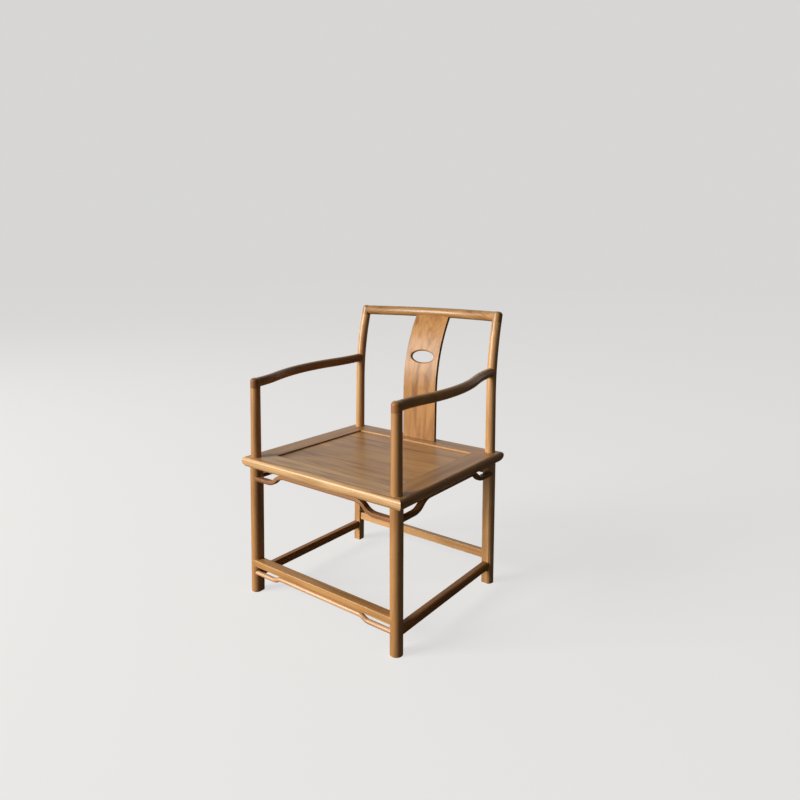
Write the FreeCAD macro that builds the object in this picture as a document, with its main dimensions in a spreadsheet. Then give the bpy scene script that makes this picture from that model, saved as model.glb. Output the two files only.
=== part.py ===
import FreeCAD, Part
import math
import os
import re

import Sketcher
from FreeCAD import Vector

# Low-backed armchair with round members, in millimetres.
# +Z is up, the sitter faces -Y, and +X is the sitter's left.
# The origin is on the floor, under the middle of the chair's outline.
# Only the sitter's left side is modelled: its pieces are mirrored to the right.

doc = FreeCAD.newDocument("armchair")
dims = doc.addObject("Spreadsheet::Sheet", "dims")

# Driving dimensions
SIZES = {
    # seat frame and panel
    "seat_height": 430,
    "seat_width": 591,
    "seat_depth": 530,
    "frame_thickness": 30,
    "rail_width": 73,
    "edge_swell": 24,
    "edge_swell_drop": 11,
    "edge_top_round": 9,
    "edge_bottom_round": 4,
    "panel_recess": 4,
    "panel_thickness": 14,
    "panel_tongue_length": 8,
    "panel_tongue_thickness": 6,
    "panel_tongue_rise": 3,
    "board_tongue_length": 5,
    "batten_spread": 230,
    "batten_width": 30,
    "batten_depth": 12,
    "batten_dovetail": 5,
    "batten_dovetail_flare": 3,
    "batten_tenon_thickness": 6,
    "corner_tenon_width": 14,
    "corner_tenon_thickness": 9,
    "corner_tenon_inset": 13,
    "corner_tenon_stop": 25,
    # legs and posts
    "leg_inset_side": 33,
    "leg_inset_front": 28,
    "leg_inset_back": 28,
    "foot_spread_side": 9,
    "foot_spread_front": 9.4,
    "leg_diameter": 35,
    "leg_flat_depth": 1.5,
    "leg_arris": 3,
    "neck_diameter": 30.7,
    "front_post_top_diameter": 28.7,
    "back_post_top_diameter": 28.8,
    "bend_height": 610,
    "bend_radius": 864,
    # arms
    "arm_diameter": 27.6,
    "arm_front_height": 653,
    "arm_back_height": 677.5,
    "arm_bow": 35,
    "arm_peak": 222,
    "arm_front_easing": 300,
    "arm_back_easing": 450,
    "arm_skirt": 0.8,
    "arm_tenon_diameter": 12,
    # crest rail and splat
    "crest_diameter": 30.2,
    "crest_height": 840.2,
    "crest_bow": 42,
    "crest_skirt": 3,
    "elbow_round": 9,
    "post_tenon_diameter": 13,
    "post_tenon_length": 17,
    "splat_width": 127,
    "splat_thickness": 11,
    "splat_inset": 33,
    "splat_bend_height": 586,
    "splat_seat_tongue": 12,
    "splat_crest_tongue_width": 104,
    "splat_crest_tongue_thickness": 7,
    "splat_crest_tongue_past_axis": 2,
    "splat_edge_round": 1.5,
    "hole_width": 85,
    "hole_height": 38,
    "hole_centre_height": 700.8,
    "hole_rim_round": 5,
    # hump-backed braces under the seat
    "brace_height": 13,
    "brace_depth": 18,
    "brace_bottom_round": 5,
    "brace_top_round": 1.5,
    "brace_rise": 28.5,
    "brace_foot": 62,
    "brace_run": 70,
    "brace_offset": 6,
    "brace_tenon_height": 8,
    "brace_tenon_depth": 10,
    # stretchers near the floor
    "front_stretcher_top": 107,
    "front_stretcher_height": 21,
    "front_stretcher_depth": 30.5,
    "front_stretcher_reach": 17.5,
    "front_stretcher_round": 2.5,
    "side_stretcher_top": 72.5,
    "back_stretcher_top": 106,
    "stretcher_height": 25.5,
    "stretcher_depth": 22,
    "stretcher_outer_round": 8,
    "stretcher_inner_round": 1.5,
    "stretcher_tenon_height": 13,
    "stretcher_tenon_thickness": 9,
    # hump-backed rod under the front stretcher
    "rod_diameter": 14,
    "rod_gap": 4.5,
    "rod_rise": 10.5,
    "rod_foot": 85,
    "rod_run": 35,
    "rod_reach": 8.6,
    "rod_tenon_diameter": 9,
    # joints
    "tenon_length": 11,
    "joint_clearance": 0.2,
}
for row, (alias, number) in enumerate(SIZES.items(), 1):
    dims.set(f"A{row}", str(number))
    dims.setAlias(f"A{row}", alias)
doc.recompute()


# Formulas over the sheet

def formula(text):
    """Names the sheet before each size in a formula."""
    return re.sub(r"\b[a-z]+(?:_[a-z]+)+\b", r"dims.\g<0>", text)


def value(text):
    result = dims.evalExpression(formula(text))
    return float(getattr(result, "Value", result))


def bind(obj, **formulas):
    for name, text in formulas.items():
        obj.setExpression(name, formula(text))
    return obj


UPRIGHT = "rotation(vector(0; 0; 1); 0)"
ORIGIN = ("0", "0", "0")


def place(obj, at, turn=UPRIGHT):
    x, y, z = at
    obj.setExpression("Placement", formula(f"placement(vector({x}; {y}; {z}); {turn})"))
    return obj


def turned(axis, angle):
    """A rotation about a named axis of the frame."""
    vector = {"x": "1; 0; 0", "y": "0; 1; 0", "z": "0; 0; 1"}[axis]
    return f"rotation(vector({vector}); {angle})"


CLEAR = "joint_clearance"
# How far cutters and the roots of tenons run past the faces they cross
OVERRUN = "10"
ALONG_X = turned("y", "90")
UNDERSIDE = "(seat_height - frame_thickness)"
SIDE_SLOPE = "(foot_spread_side / seat_height)"
FRONT_SLOPE = "(foot_spread_front / seat_height)"
FRONT_STRETCH = f"sqrt(1 + {SIDE_SLOPE}^2 + {FRONT_SLOPE}^2)"
BACK_STRETCH = f"sqrt(1 + {SIDE_SLOPE}^2)"

# The back posts bend backwards above bend_height and carry the crest rail's ends.
CREST_RISE = "(crest_height - bend_height)"
CREST_DROP = "(crest_diameter / 2 + crest_skirt)"
LEAN = (f"(asin({CREST_RISE} / sqrt(bend_radius^2 + {CREST_DROP}^2))"
        f" - atan({CREST_DROP} / bend_radius))")
BEND_BACK = f"(bend_radius * (1 - cos({LEAN})))"
BEND_UP = f"(bend_radius * sin({LEAN}))"
POST_LEAN = f"({BEND_BACK} + {CREST_DROP} * sin({LEAN}))"

# The chair's outline runs from the front of the seat to the back of the crest rail.
BACK_REACH = f"(seat_depth / 2 - leg_inset_back + {POST_LEAN} + crest_bow + crest_diameter / 2)"
SEAT_Y = f"((seat_depth / 2 - {BACK_REACH}) / 2)"
FRONT_EDGE = f"({SEAT_Y} - seat_depth / 2)"
BACK_EDGE = f"({SEAT_Y} + seat_depth / 2)"
FRONT_INNER = f"({FRONT_EDGE} + rail_width)"
BACK_INNER = f"({BACK_EDGE} - rail_width)"
SIDE_INNER = "(seat_width / 2 - rail_width)"
LEG_X = "(seat_width / 2 - leg_inset_side)"
FRONT_LEG_Y = f"({FRONT_EDGE} + leg_inset_front)"
BACK_LEG_Y = f"({BACK_EDGE} - leg_inset_back)"
FRONT_TURN = (f"rotation(vector(-{FRONT_SLOPE}; -{SIDE_SLOPE}; 0);"
              f" atan(sqrt({SIDE_SLOPE}^2 + {FRONT_SLOPE}^2)))")
BACK_TURN = f"rotation(vector(0; -1; 0); atan({SIDE_SLOPE}))"


def leg_x(z):
    return f"({LEG_X} - {SIDE_SLOPE} * ({z} - seat_height))"


def front_y(z):
    return f"({FRONT_LEG_Y} + {FRONT_SLOPE} * ({z} - seat_height))"


def front_axis(z):
    """The point of the front leg's axis at a height."""
    return (leg_x(z), front_y(z), z)


def back_axis(z):
    return (leg_x(z), BACK_LEG_Y, z)


ARM_DROP = "(arm_diameter / 2 + arm_skirt)"
ARM_JOINT = f"(arm_front_height - {ARM_DROP})"
CREST_X = f"({leg_x('bend_height')} - {SIDE_SLOPE} / {BACK_STRETCH} * {CREST_RISE})"
CREST_Z = f"(bend_height + {CREST_RISE} / {BACK_STRETCH})"
CREST_END_Y = f"({BACK_LEG_Y} + {POST_LEAN})"
CREST_MID_Y = f"({CREST_END_Y} + crest_bow)"
CREST_RING = f"(({CREST_X}^2 + crest_bow^2) / (2 * crest_bow))"
CREST_HALF_ANGLE = f"asin({CREST_X} / {CREST_RING})"


# Primitives and booleans

def box(name, size, at, turn=UPRIGHT):
    length, width, height = size
    return place(bind(doc.addObject("Part::Box", name), Length=length, Width=width, Height=height), at, turn)


def block(name, low, high):
    """An upright box between two corners."""
    size = [f"{b} - ({a})" for a, b in zip(low, high)]
    return box(name, size, low)


def cylinder(name, radius, height, at, turn=UPRIGHT):
    return place(bind(doc.addObject("Part::Cylinder", name), Radius=radius, Height=height), at, turn)


def cone(name, low_radius, high_radius, height, at, turn=UPRIGHT):
    obj = bind(doc.addObject("Part::Cone", name), Radius1=low_radius, Radius2=high_radius, Height=height)
    return place(obj, at, turn)


def ring(name, radius, tube, angle, at, turn=UPRIGHT):
    """A sector of a torus, from its local X axis round to the angle."""
    obj = bind(doc.addObject("Part::Torus", name), Radius1=radius, Radius2=tube, Angle3=angle)
    return place(obj, at, turn)


def fuse(name, pieces):
    obj = doc.addObject("Part::MultiFuse", name)
    obj.Shapes = pieces
    obj.Refine = True
    return obj


def cut(name, base, tools):
    obj = doc.addObject("Part::Cut", name)
    obj.Base = base
    obj.Tool = fuse(f"{name}_tools", tools) if len(tools) > 1 else tools[0]
    obj.Refine = True
    return obj


def common(name, base, tool):
    obj = doc.addObject("Part::Common", name)
    obj.Base = base
    obj.Tool = tool
    return obj


def mirrored(name, source):
    obj = doc.addObject("Part::Mirroring", name)
    obj.Source = source
    obj.Normal = Vector(1, 0, 0)
    return obj


def both(obj):
    return [obj, mirrored(f"{obj.Name}_right", obj)]


# Bodies with sketches

def body(name, at=ORIGIN, turn=UPRIGHT):
    return place(doc.addObject("PartDesign::Body", name), at, turn)


def sketch(owner, name, plane):
    obj = owner.newObject("Sketcher::SketchObject", name)
    support = next(item for item in owner.Origin.OriginFeatures if item.Role == plane)
    obj.AttachmentSupport = [(support, "")]
    obj.MapMode = "FlatFace"
    return obj


def measure(drawing, name, text, kind, *where):
    """Adds a dimension that follows a formula."""
    number = value(text)
    if kind == "Angle":
        number = math.radians(number)
    index = drawing.addConstraint(Sketcher.Constraint(kind, *where, number))
    drawing.renameConstraint(index, name)
    drawing.setExpression(f"Constraints.{name}", formula(text))


def line(drawing, start, end):
    return drawing.addGeometry(Part.LineSegment(Vector(*start), Vector(*end)))


def arc(drawing, centre, radius, start, end):
    circle = Part.Circle(Vector(*centre), Vector(0, 0, 1), radius)
    return drawing.addGeometry(Part.ArcOfCircle(circle, math.radians(start), math.radians(end)))


def join(drawing, kind, *pairs):
    for one, other in pairs:
        drawing.addConstraint(Sketcher.Constraint(kind, *one, *other))


def pad(owner, drawing, length):
    obj = owner.newObject("PartDesign::Pad", f"{owner.Name}_pad")
    obj.Profile = drawing
    return bind(obj, Length=length)


def leg_section(drawing, radius):
    """Round outside, with two flats that meet in an eased corner inside."""
    flat = f"({radius} - leg_flat_depth)"
    r, f, c = value(radius), value(flat), value("leg_arris")
    chord = math.sqrt(r**2 - f**2)
    past = math.degrees(math.asin(f / r))
    outer = arc(drawing, (0, 0), r, 270 - past, 360 + past)
    top = line(drawing, (chord, f), (c - f, f))
    corner = arc(drawing, (c - f, f - c), c, 90, 180)
    side = line(drawing, (-f, f - c), (-f, -chord))
    join(drawing, "Coincident", ((outer, 3), (-1, 1)), ((outer, 2), (top, 1)), ((side, 2), (outer, 1)))
    join(drawing, "Tangent", ((top, 2), (corner, 1)), ((corner, 2), (side, 1)))
    drawing.addConstraint(Sketcher.Constraint("Horizontal", top))
    drawing.addConstraint(Sketcher.Constraint("Vertical", side))
    measure(drawing, "outer_radius", radius, "Radius", outer)
    measure(drawing, "corner_radius", "leg_arris", "Radius", corner)
    measure(drawing, "top_flat", flat, "DistanceY", -1, 1, top, 1)
    measure(drawing, "side_flat", flat, "DistanceX", side, 1, -1, 1)


def rail_section(drawing):
    """A seat rail from its outer edge, at the origin: a swollen face that draws in below."""
    wide, half = value("rail_width"), value("frame_thickness / 2")
    swell, widest = value("edge_swell"), value("frame_thickness / 2 - edge_swell_drop")
    a, b = value("edge_top_round"), value("edge_bottom_round")

    def flat_start(rounding, height):
        return swell - math.sqrt((swell - rounding)**2 - height**2)

    above, below = half - a - widest, half - b + widest
    top_start, bottom_start = flat_start(a, above), flat_start(b, below)
    upper_turn = 180 - math.degrees(math.asin(above / (swell - a)))
    lower_turn = 180 + math.degrees(math.asin(below / (swell - b)))
    bottom = line(drawing, (bottom_start, -half), (wide, -half))
    inner = line(drawing, (wide, -half), (wide, half))
    top = line(drawing, (wide, half), (top_start, half))
    top_round = arc(drawing, (top_start, half - a), a, 90, upper_turn)
    face = arc(drawing, (swell, widest), swell, upper_turn, lower_turn)
    bottom_round = arc(drawing, (bottom_start, b - half), b, lower_turn, 270)
    outline = [top, top_round, face, bottom_round, bottom]
    join(drawing, "Coincident", ((bottom, 2), (inner, 1)), ((inner, 2), (top, 1)))
    for one, other in zip(outline, outline[1:]):
        join(drawing, "Tangent", ((one, 2), (other, 1)))
    for flat in (bottom, top):
        drawing.addConstraint(Sketcher.Constraint("Horizontal", flat))
    drawing.addConstraint(Sketcher.Constraint("Vertical", inner))
    measure(drawing, "top_round", "edge_top_round", "Radius", top_round)
    measure(drawing, "bottom_round", "edge_bottom_round", "Radius", bottom_round)
    measure(drawing, "swell", "edge_swell", "Radius", face)
    measure(drawing, "swell_centre", "edge_swell", "DistanceX", -1, 1, face, 3)
    measure(drawing, "swell_drop", "edge_swell_drop", "DistanceY", face, 3, top, 1)
    measure(drawing, "width", "rail_width", "DistanceX", -1, 1, inner, 1)
    measure(drawing, "thickness", "frame_thickness", "DistanceY", inner, 1, inner, 2)
    measure(drawing, "half_thickness", "frame_thickness / 2", "DistanceY", inner, 1, -1, 1)


def rounded_section(drawing, width, height, rounds):
    """A rectangle about the sketch's origin; its rounds go anticlockwise from the low left corner."""
    w, h = value(width) / 2, value(height) / 2
    a, b, c, d = [value(rounding) for rounding in rounds]
    bottom = line(drawing, (a - w, -h), (w - b, -h))
    low_right = arc(drawing, (w - b, b - h), b, 270, 360)
    right = line(drawing, (w, b - h), (w, h - c))
    high_right = arc(drawing, (w - c, h - c), c, 0, 90)
    top = line(drawing, (w - c, h), (d - w, h))
    high_left = arc(drawing, (d - w, h - d), d, 90, 180)
    left = line(drawing, (-w, h - d), (-w, a - h))
    low_left = arc(drawing, (a - w, a - h), a, 180, 270)
    outline = [bottom, low_right, right, high_right, top, high_left, left, low_left]
    for one, other in zip(outline, outline[1:] + outline[:1]):
        join(drawing, "Tangent", ((one, 2), (other, 1)))
    for flat in (bottom, top):
        drawing.addConstraint(Sketcher.Constraint("Horizontal", flat))
    for upright in (left, right):
        drawing.addConstraint(Sketcher.Constraint("Vertical", upright))
    for number, corner in enumerate((low_left, low_right, high_right, high_left)):
        measure(drawing, f"round_{number}", rounds[number], "Radius", corner)
    measure(drawing, "width", width, "DistanceX", left, 1, right, 1)
    measure(drawing, "height", height, "DistanceY", bottom, 1, top, 1)
    measure(drawing, "half_width", f"{width} / 2", "DistanceX", left, 1, -1, 1)
    measure(drawing, "half_height", f"{height} / 2", "DistanceY", bottom, 1, -1, 1)


def bar(name, length, draw_section, at, turn=UPRIGHT):
    """A straight bar along its local X axis, to both sides of its place."""
    owner = body(name, at, turn)
    drawing = sketch(owner, f"{name}_section", "YZ_Plane")
    draw_section(drawing)
    pad(owner, drawing, length).Midplane = True
    return owner


def domed_stub(name, radius, height, rounding, at, turn):
    """A short upright cylinder with a rounded top edge."""
    owner = body(name, at, turn)
    drawing = sketch(owner, f"{name}_profile", "XZ_Plane")
    r, h, e = value(radius), value(height), value(rounding)
    base = line(drawing, (0, 0), (r, 0))
    side = line(drawing, (r, 0), (r, h - e))
    edge = arc(drawing, (r - e, h - e), e, 0, 90)
    top = line(drawing, (r - e, h), (0, h))
    axis = line(drawing, (0, h), (0, 0))
    join(drawing, "Coincident", ((base, 1), (-1, 1)), ((base, 2), (side, 1)), ((top, 2), (axis, 1)),
         ((axis, 2), (base, 1)))
    join(drawing, "Tangent", ((side, 2), (edge, 1)), ((edge, 2), (top, 1)))
    for flat in (base, top):
        drawing.addConstraint(Sketcher.Constraint("Horizontal", flat))
    for upright in (side, axis):
        drawing.addConstraint(Sketcher.Constraint("Vertical", upright))
    measure(drawing, "radius", radius, "DistanceX", base, 1, base, 2)
    measure(drawing, "height", height, "DistanceY", axis, 2, axis, 1)
    measure(drawing, "rounding", rounding, "Radius", edge)
    turn_round = owner.newObject("PartDesign::Revolution", f"{name}_turn")
    turn_round.Profile = drawing
    turn_round.ReferenceAxis = (drawing, ["V_Axis"])
    turn_round.Angle = 360
    return owner


def hump_path(drawing, half_length, low, high, half_middle, run):
    """Level ends, an S-shaped rise on each side and a level middle, in one tangent chain."""
    end, bottom, top = value(half_length), value(low), value(high)
    mid, rise_run = value(half_middle), value(run)
    bend = 2 * math.atan((top - bottom) / rise_run)
    radius = rise_run / (2 * math.sin(bend))
    foot = mid + rise_run
    sweep = math.degrees(bend)
    path = [
        line(drawing, (-end, bottom), (-foot, bottom)),
        arc(drawing, (-foot, bottom + radius), radius, 270, 270 + sweep),
        arc(drawing, (-mid, top - radius), radius, 90, 90 + sweep),
        line(drawing, (-mid, top), (mid, top)),
        arc(drawing, (mid, top - radius), radius, 90 - sweep, 90),
        arc(drawing, (foot, bottom + radius), radius, 270 - sweep, 270),
        line(drawing, (foot, bottom), (end, bottom)),
    ]
    first, rise, crown, middle, far_crown, far_rise, last = path
    join(drawing, "Tangent", ((first, 2), (rise, 1)), ((rise, 2), (crown, 2)), ((crown, 1), (middle, 1)),
         ((middle, 2), (far_crown, 2)), ((far_crown, 1), (far_rise, 1)), ((far_rise, 2), (last, 1)))
    join(drawing, "Equal", ((rise,), (crown,)), ((rise,), (far_crown,)), ((rise,), (far_rise,)))
    for flat in (first, last):
        drawing.addConstraint(Sketcher.Constraint("Horizontal", flat))
    drawing.addConstraint(Sketcher.Constraint("Symmetric", first, 1, last, 2, -2))
    drawing.addConstraint(Sketcher.Constraint("Symmetric", middle, 1, middle, 2, -2))
    measure(drawing, "half_length", half_length, "DistanceX", -1, 1, last, 2)
    measure(drawing, "half_middle", half_middle, "DistanceX", -1, 1, middle, 2)
    measure(drawing, "foot", f"{half_middle} + {run}", "DistanceX", -1, 1, last, 1)
    measure(drawing, "low", low, "DistanceY", -1, 1, last, 2)
    measure(drawing, "high", high, "DistanceY", -1, 1, middle, 2)


def hump(name, half_length, heights, rise, draw_section, at, turn=UPRIGHT):
    """A bar swept along a hump path in its own XZ plane; heights are of its axis above the floor."""
    low, high = heights
    foot, run = rise
    owner = body(name, at, turn)
    path = sketch(owner, f"{name}_path", "XZ_Plane")
    hump_path(path, half_length, low, high, f"({half_length} - {foot} - {run})", run)
    section = sketch(owner, f"{name}_section", "YZ_Plane")
    section.setExpression("AttachmentOffset.Base.y", formula(low))
    section.setExpression("AttachmentOffset.Base.z", formula(f"-({half_length})"))
    draw_section(section)
    sweep = owner.newObject("PartDesign::AdditivePipe", f"{name}_sweep")
    sweep.Profile = section
    sweep.Spine = (path, [f"Edge{number}" for number in range(1, 8)])
    return owner


parts = {}


def keep(name, obj):
    """Registers a finished sub-part under its node's name."""
    obj.Label = name
    parts[name] = obj
    return obj


def keep_pair(name, obj):
    """Keeps the sitter's left piece and its mirrored twin."""
    keep(f"{name}_left", obj)
    keep(f"{name}_right", mirrored(f"{name}_twin", obj))


# Leg stock, and the slightly larger space that the stretchers and braces are cut round

LEG_STOCK_LENGTH = f"({UNDERSIDE} + 4 * {OVERRUN})"


def leg_stock(name, axis, turn, radius):
    owner = body(name, axis(f"(-2 * {OVERRUN})"), turn)
    drawing = sketch(owner, f"{name}_section", "XY_Plane")
    leg_section(drawing, radius)
    pad(owner, drawing, LEG_STOCK_LENGTH)
    return owner


BACK_CORNER_TURN = f"{BACK_TURN} * {turned('z', '90')}"
LEG_ENVELOPE = f"leg_diameter / 2 + {CLEAR}"
front_envelope = leg_stock("front_leg_envelope", front_axis, FRONT_TURN, LEG_ENVELOPE)
back_envelope = leg_stock("back_leg_envelope", back_axis, BACK_CORNER_TURN, LEG_ENVELOPE)
front_envelopes = both(front_envelope)
back_envelopes = both(back_envelope)
below_seat = block("below_seat", ("-seat_width", f"{SEAT_Y} - seat_depth", "0"),
                   ("seat_width", f"{SEAT_Y} + seat_depth", UNDERSIDE))


# Tenons: each is made once at its true size and once with clearance, for its mortise

LEG_FACE = "(leg_diameter / 2 - leg_flat_depth)"


def tenon_and_mortise(name, low, high):
    space_low = [f"{v} - {CLEAR}" for v in low]
    space_high = [f"{v} + {CLEAR}" for v in high]
    return block(f"{name}_tenon", low, high), block(f"{name}_mortise", space_low, space_high)


def centred(middle, size):
    return f"({middle} - ({size}) / 2)", f"({middle} + ({size}) / 2)"


def tenon_along_x(name, leg_at, y, z, thickness, height):
    """A square tenon that enters the left leg from the chair's middle."""
    y_low, y_high = centred(y, thickness)
    z_low, z_high = centred(z, height)
    face = f"({leg_at} - {LEG_FACE})"
    return tenon_and_mortise(name, (f"{face} - {OVERRUN}", y_low, z_low),
                             (f"{face} + tenon_length", y_high, z_high))


def tenon_along_y(name, x, leg_at, inward, z, thickness, height):
    """A square tenon that enters a leg along Y; inward is +1 from the front leg, -1 from the back leg."""
    x_low, x_high = centred(x, thickness)
    z_low, z_high = centred(z, height)
    face = f"({leg_at} + {inward} * {LEG_FACE})"
    y_ends = [f"{face} + {OVERRUN}", f"{face} - tenon_length"]
    if inward < 0:
        y_ends = [f"{face} + tenon_length", f"{face} - {OVERRUN}"]
    return tenon_and_mortise(name, (x_low, y_ends[1], z_low), (x_high, y_ends[0], z_high))


# Front stretcher (footrest), back stretcher and side stretchers

front_mortises = []
back_mortises = []
FRONT_STRETCHER_Z = "(front_stretcher_top - front_stretcher_height / 2)"
BACK_STRETCHER_Z = "(back_stretcher_top - stretcher_height / 2)"
SIDE_STRETCHER_Z = "(side_stretcher_top - stretcher_height / 2)"


def cross_member(name, raw, envelopes, tenon):
    """Cuts a bar's ends to the legs' round and adds a tenon at each end."""
    return fuse(name, [cut(f"{name}_coped", raw, envelopes), *tenon])


def side_span(z):
    """Middle and length along Y between the axes of the front and back leg."""
    return f"(({front_y(z)} + {BACK_LEG_Y}) / 2)", f"({BACK_LEG_Y} - {front_y(z)})"


def footrest_section(drawing):
    rounded_section(drawing, "front_stretcher_depth", "front_stretcher_height", ["front_stretcher_round"] * 4)


def make_front_stretcher():
    z = FRONT_STRETCHER_Z
    y = f"({front_y(z)} - front_stretcher_reach + front_stretcher_depth / 2)"
    raw = bar("front_stretcher_bar", f"2 * {leg_x(z)}", footrest_section, ("0", y, z))
    tenon, mortise = tenon_along_x("front_stretcher", leg_x(z), front_y(z), z, "stretcher_tenon_thickness",
                                   "stretcher_tenon_height")
    front_mortises.append(mortise)
    keep("front_stretcher", cross_member("front_stretcher_solid", raw, front_envelopes, both(tenon)))


def stretcher_section(drawing):
    """The side and back stretchers' section, with its outer side on the left."""
    outer, inner = "stretcher_outer_round", "stretcher_inner_round"
    rounded_section(drawing, "stretcher_depth", "stretcher_height", [outer, inner, inner, outer])


def make_back_stretcher():
    z = BACK_STRETCHER_Z
    raw = bar("back_stretcher_bar", f"2 * {leg_x(z)}", stretcher_section, ("0", BACK_LEG_Y, z),
              turned("z", "180"))
    tenon, mortise = tenon_along_x("back_stretcher", leg_x(z), BACK_LEG_Y, z, "stretcher_tenon_thickness",
                                   "stretcher_tenon_height")
    back_mortises.append(mortise)
    keep("back_stretcher", cross_member("back_stretcher_solid", raw, back_envelopes, both(tenon)))


def side_tenons(name, x, z, thickness, height):
    front_tenon, front_mortise = tenon_along_y(f"{name}_front", x, front_y(z), 1, z, thickness, height)
    back_tenon, back_mortise = tenon_along_y(f"{name}_back", x, BACK_LEG_Y, -1, z, thickness, height)
    front_mortises.append(front_mortise)
    back_mortises.append(back_mortise)
    return [front_tenon, back_tenon]


def make_side_stretchers():
    z = SIDE_STRETCHER_Z
    middle, span = side_span(z)
    raw = bar("side_stretcher_bar", span, stretcher_section, (leg_x(z), middle, z), turned("z", "90"))
    tenons = side_tenons("side_stretcher", leg_x(z), z, "stretcher_tenon_thickness", "stretcher_tenon_height")
    envelopes = [front_envelope, back_envelope]
    keep_pair("side_stretcher", cross_member("side_stretcher_solid", raw, envelopes, tenons))


make_front_stretcher()
make_back_stretcher()
make_side_stretchers()


# Hump-backed rod under the front stretcher

def make_footrest_rod():
    high = "(front_stretcher_top - front_stretcher_height - rod_gap - rod_diameter / 2)"
    low = f"({high} - rod_rise)"
    y = f"({front_y(low)} - rod_reach)"

    def circle(drawing):
        disc = drawing.addGeometry(Part.Circle(Vector(), Vector(0, 0, 1), value("rod_diameter / 2")))
        join(drawing, "Coincident", ((disc, 3), (-1, 1)))
        measure(drawing, "radius", "rod_diameter / 2", "Radius", disc)

    raw = hump("footrest_rod_bar", leg_x(low), (low, high), ("rod_foot", "rod_run"), circle, ("0", y, "0"))
    start = f"({leg_x(low)} - {LEG_FACE} - {OVERRUN})"
    length = f"({OVERRUN} + tenon_length)"
    tenon = cylinder("footrest_rod_tenon", "rod_tenon_diameter / 2", length, (start, y, low), ALONG_X)
    mortise = cylinder("footrest_rod_mortise", f"rod_tenon_diameter / 2 + {CLEAR}", f"{length} + {CLEAR}",
                       (start, y, low), ALONG_X)
    front_mortises.append(mortise)
    keep("footrest_brace", cross_member("footrest_brace_solid", raw, front_envelopes, both(tenon)))


make_footrest_rod()


# Hump-backed braces: the ends are tenoned into the legs, the middle lies against the seat frame

BRACE_HIGH = f"({UNDERSIDE} - brace_height / 2)"
BRACE_LOW = f"({BRACE_HIGH} - brace_rise)"


def brace_section(drawing):
    low, high = "brace_bottom_round", "brace_top_round"
    rounded_section(drawing, "brace_depth", "brace_height", [low, low, high, high])


def brace(name, half_length, at, turn=UPRIGHT):
    heights, rise = (BRACE_LOW, BRACE_HIGH), ("brace_foot", "brace_run")
    return hump(name, half_length, heights, rise, brace_section, at, turn)


def make_cross_brace(name, y, envelopes, mortises):
    raw = brace(f"{name}_bar", leg_x(BRACE_LOW), ("0", y, "0"))
    tenon, mortise = tenon_along_x(name, leg_x(BRACE_LOW), y, BRACE_LOW, "brace_tenon_depth",
                                   "brace_tenon_height")
    mortises.append(mortise)
    keep(name, cross_member(f"{name}_solid", raw, envelopes, both(tenon)))


def make_side_braces():
    x = f"({leg_x(BRACE_LOW)} + brace_offset)"
    middle, span = side_span(BRACE_LOW)
    raw = brace("side_brace_bar", f"({span} / 2)", (x, middle, "0"), turned("z", "90"))
    tenons = side_tenons("side_brace", x, BRACE_LOW, "brace_tenon_depth", "brace_tenon_height")
    keep_pair("side_brace", cross_member("side_brace_solid", raw, [front_envelope, back_envelope], tenons))


make_cross_brace("front_brace", f"({front_y(BRACE_LOW)} - brace_offset)", front_envelopes, front_mortises)
make_cross_brace("back_brace", f"({BACK_LEG_Y} + brace_offset)", back_envelopes, back_mortises)
make_side_braces()


# Back posts: a tapered straight stretch above the seat, then a bend to the crest rail

BEND_TURN = f"{BACK_TURN} * rotation(vector(1; -1; -1); 120)"
POST_TOP_TURN = f"{BACK_TURN} * {turned('x', f'-{LEAN}')}"
BEND_POINT = back_axis("bend_height")
POST_TOP = (f"({BEND_POINT[0]} - {SIDE_SLOPE} / {BACK_STRETCH} * {BEND_UP})",
            f"({BEND_POINT[1]} + {BEND_BACK})", f"(bend_height + {BEND_UP} / {BACK_STRETCH})")
# The direction of the back post where it meets the crest rail
POST_TOP_DIRECTION = (f"-{SIDE_SLOPE} / {BACK_STRETCH} * cos({LEAN})", f"sin({LEAN})",
                      f"cos({LEAN}) / {BACK_STRETCH}")


def back_post(name, clearance):
    """The post above the seat, with a clearance round it where it is a space."""
    low_radius = f"neck_diameter / 2 + {clearance}"
    high_radius = f"back_post_top_diameter / 2 + {clearance}"
    straight = cone(f"{name}_straight", low_radius, high_radius,
                    f"(bend_height - seat_height) * {BACK_STRETCH}", back_axis("seat_height"), BACK_TURN)
    bend = ring(f"{name}_bend", "bend_radius", high_radius, LEAN,
                (BEND_POINT[0], f"{BEND_POINT[1]} + bend_radius", BEND_POINT[2]), BEND_TURN)
    return [straight, bend]


NECK_FOOT = f"({UNDERSIDE} - {OVERRUN})"


def neck(name, axis, turn, stretch):
    """The round neck of a leg, from inside the leg to the top of the seat frame."""
    height = f"(frame_thickness + {OVERRUN}) * {stretch}"
    return cylinder(name, "neck_diameter / 2", height, axis(NECK_FOOT), turn)


def neck_hole(name, axis, turn, stretch):
    """The hole for a leg's neck, right through the seat frame."""
    return cylinder(name, f"neck_diameter / 2 + {CLEAR}", f"(frame_thickness + 2 * {OVERRUN}) * {stretch}",
                    axis(NECK_FOOT), turn)


post_envelope = fuse("back_post_envelope", back_post("back_post_space", CLEAR))


# Armrests: four tangent arcs in a plane that rises to the back, and an elbow over the front post

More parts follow.
